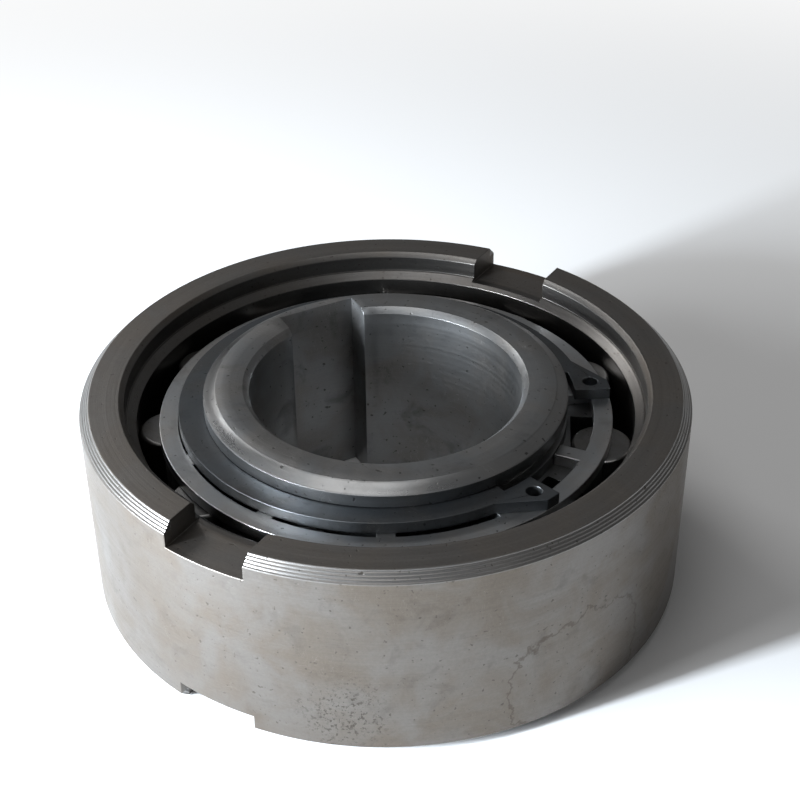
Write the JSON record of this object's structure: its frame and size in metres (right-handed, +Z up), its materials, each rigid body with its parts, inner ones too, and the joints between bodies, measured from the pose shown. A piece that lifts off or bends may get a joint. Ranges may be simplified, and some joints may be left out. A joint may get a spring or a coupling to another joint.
{
  "type": "one-way clutch",
  "caption": "Ring-shaped one-way clutch: a keyed inner star turns freely one way in a slotted outer ring, and spring-loaded rollers wedge it the other way.",
  "frame": {"origin": "centre of the lower end face, on the bore axis", "axes": "+Z up along the bore axis; the driving slots of the outer ring lie on the Y axis"},
  "size_m": [0.1, 0.1, 0.035],
  "materials": {
    "ground_steel": "ground outside and end faces with fine turning lines and light handling marks",
    "hub_steel": "turned and hardened, bright chamfer, darker grey below",
    "plate_steel": "stamped sheet, satin, oiled",
    "spring_steel": "phosphated dark spring steel, oiled",
    "roller_steel": "ground rollers with satin ends",
    "plunger_steel": "ground pin, satin",
    "spring_wire": "bright spring wire"
  },
  "bodies": {
    "outer": {"outer_ring": "ground_steel"},
    "inner": {"inner_ring": "hub_steel", "side_plate_upper": "plate_steel", "side_plate_lower": "plate_steel", "retaining_ring_upper": "spring_steel", "retaining_ring_lower": "spring_steel", "spring_01": "spring_wire", "spring_02": "spring_wire", "spring_03": "spring_wire", "spring_04": "spring_wire", "spring_05": "spring_wire", "spring_06": "spring_wire", "spring_07": "spring_wire", "spring_08": "spring_wire", "spring_09": "spring_wire", "spring_10": "spring_wire", "spring_11": "spring_wire"},
    "roller_01": {"roller_01": "roller_steel"},
    "plunger_01": {"plunger_01": "plunger_steel"},
    "roller_02": {"roller_02": "roller_steel"},
    "plunger_02": {"plunger_02": "plunger_steel"},
    "roller_03": {"roller_03": "roller_steel"},
    "plunger_03": {"plunger_03": "plunger_steel"},
    "roller_04": {"roller_04": "roller_steel"},
    "plunger_04": {"plunger_04": "plunger_steel"},
    "roller_05": {"roller_05": "roller_steel"},
    "plunger_05": {"plunger_05": "plunger_steel"},
    "roller_06": {"roller_06": "roller_steel"},
    "plunger_06": {"plunger_06": "plunger_steel"},
    "roller_07": {"roller_07": "roller_steel"},
    "plunger_07": {"plunger_07": "plunger_steel"},
    "roller_08": {"roller_08": "roller_steel"},
    "plunger_08": {"plunger_08": "plunger_steel"},
    "roller_09": {"roller_09": "roller_steel"},
    "plunger_09": {"plunger_09": "plunger_steel"},
    "roller_10": {"roller_10": "roller_steel"},
    "plunger_10": {"plunger_10": "plunger_steel"},
    "roller_11": {"roller_11": "roller_steel"},
    "plunger_11": {"plunger_11": "plunger_steel"}
  },
  "joints": [
    {"name": "inner_turn", "type": "hinge", "parent": "outer", "child": "inner", "pos_m": [0, 0, 0.0175], "axis": [0, 0, 1], "range_deg": [-360, 0]},
    {"name": "roller_01_slide", "type": "slide", "parent": "inner", "child": "roller_01", "axis": [-0.454, 0.891, 0], "range_m": [0, 0.001], "stiffness_N_per_m": 400, "springref_m": -0.0015},
    {"name": "plunger_01_slide", "type": "slide", "parent": "inner", "child": "plunger_01", "axis": [-0.454, 0.891, 0], "range_m": [0, 0.001], "deforming": ["spring_01"]},
    {"name": "roller_02_slide", "type": "slide", "parent": "inner", "child": "roller_02", "axis": [-0.8636, 0.5041, 0], "range_m": [0, 0.001], "stiffness_N_per_m": 400, "springref_m": -0.0015},
    {"name": "plunger_02_slide", "type": "slide", "parent": "inner", "child": "plunger_02", "axis": [-0.8636, 0.5041, 0], "range_m": [0, 0.001], "deforming": ["spring_02"]},
    {"name": "roller_03_slide", "type": "slide", "parent": "inner", "child": "roller_03", "axis": [-0.9991, -0.0428, 0], "range_m": [0, 0.001], "stiffness_N_per_m": 400, "springref_m": -0.0015},
    {"name": "plunger_03_slide", "type": "slide", "parent": "inner", "child": "plunger_03", "axis": [-0.9991, -0.0428, 0], "range_m": [0, 0.001], "deforming": ["spring_03"]},
    {"name": "roller_04_slide", "type": "slide", "parent": "inner", "child": "roller_04", "axis": [-0.8173, -0.5762, 0], "range_m": [0, 0.001], "stiffness_N_per_m": 400, "springref_m": -0.0015},
    {"name": "plunger_04_slide", "type": "slide", "parent": "inner", "child": "plunger_04", "axis": [-0.8173, -0.5762, 0], "range_m": [0, 0.001], "deforming": ["spring_04"]},
    {"name": "roller_05_slide", "type": "slide", "parent": "inner", "child": "roller_05", "axis": [-0.3761, -0.9266, 0], "range_m": [0, 0.001], "stiffness_N_per_m": 400, "springref_m": -0.0015},
    {"name": "plunger_05_slide", "type": "slide", "parent": "inner", "child": "plunger_05", "axis": [-0.3761, -0.9266, 0], "range_m": [0, 0.001], "deforming": ["spring_05"]},
    {"name": "roller_06_slide", "type": "slide", "parent": "inner", "child": "roller_06", "axis": [0.1846, -0.9828, 0], "range_m": [0, 0.001], "stiffness_N_per_m": 400, "springref_m": -0.0015},
    {"name": "plunger_06_slide", "type": "slide", "parent": "inner", "child": "plunger_06", "axis": [0.1846, -0.9828, 0], "range_m": [0, 0.001], "deforming": ["spring_06"]},
    {"name": "roller_07_slide", "type": "slide", "parent": "inner", "child": "roller_07", "axis": [0.6866, -0.727, 0], "range_m": [0, 0.001], "stiffness_N_per_m": 400, "springref_m": -0.0015},
    {"name": "plunger_07_slide", "type": "slide", "parent": "inner", "child": "plunger_07", "axis": [0.6866, -0.727, 0], "range_m": [0, 0.001], "deforming": ["spring_07"]},
    {"name": "roller_08_slide", "type": "slide", "parent": "inner", "child": "roller_08", "axis": [0.9707, -0.2404, 0], "range_m": [0, 0.001], "stiffness_N_per_m": 400, "springref_m": -0.0015},
    {"name": "plunger_08_slide", "type": "slide", "parent": "inner", "child": "plunger_08", "axis": [0.9707, -0.2404, 0], "range_m": [0, 0.001], "deforming": ["spring_08"]},
    {"name": "roller_09_slide", "type": "slide", "parent": "inner", "child": "roller_09", "axis": [0.9465, 0.3226, 0], "range_m": [0, 0.001], "stiffness_N_per_m": 400, "springref_m": -0.0015},
    {"name": "plunger_09_slide", "type": "slide", "parent": "inner", "child": "plunger_09", "axis": [0.9465, 0.3226, 0], "range_m": [0, 0.001], "deforming": ["spring_09"]},
    {"name": "roller_10_slide", "type": "slide", "parent": "inner", "child": "roller_10", "axis": [0.6219, 0.7831, 0], "range_m": [0, 0.001], "stiffness_N_per_m": 400, "springref_m": -0.0015},
    {"name": "plunger_10_slide", "type": "slide", "parent": "inner", "child": "plunger_10", "axis": [0.6219, 0.7831, 0], "range_m": [0, 0.001], "deforming": ["spring_10"]},
    {"name": "roller_11_slide", "type": "slide", "parent": "inner", "child": "roller_11", "axis": [0.0998, 0.995, 0], "range_m": [0, 0.001], "stiffness_N_per_m": 400, "springref_m": -0.0015},
    {"name": "plunger_11_slide", "type": "slide", "parent": "inner", "child": "plunger_11", "axis": [0.0998, 0.995, 0], "range_m": [0, 0.001], "deforming": ["spring_11"]}
  ],
  "couplings": [
    {"joint": "plunger_01_slide", "follows": "roller_01_slide", "ratio": 1},
    {"joint": "plunger_02_slide", "follows": "roller_02_slide", "ratio": 1},
    {"joint": "plunger_03_slide", "follows": "roller_03_slide", "ratio": 1},
    {"joint": "plunger_04_slide", "follows": "roller_04_slide", "ratio": 1},
    {"joint": "plunger_05_slide", "follows": "roller_05_slide", "ratio": 1},
    {"joint": "plunger_06_slide", "follows": "roller_06_slide", "ratio": 1},
    {"joint": "plunger_07_slide", "follows": "roller_07_slide", "ratio": 1},
    {"joint": "plunger_08_slide", "follows": "roller_08_slide", "ratio": 1},
    {"joint": "plunger_09_slide", "follows": "roller_09_slide", "ratio": 1},
    {"joint": "plunger_10_slide", "follows": "roller_10_slide", "ratio": 1},
    {"joint": "plunger_11_slide", "follows": "roller_11_slide", "ratio": 1}
  ]
}
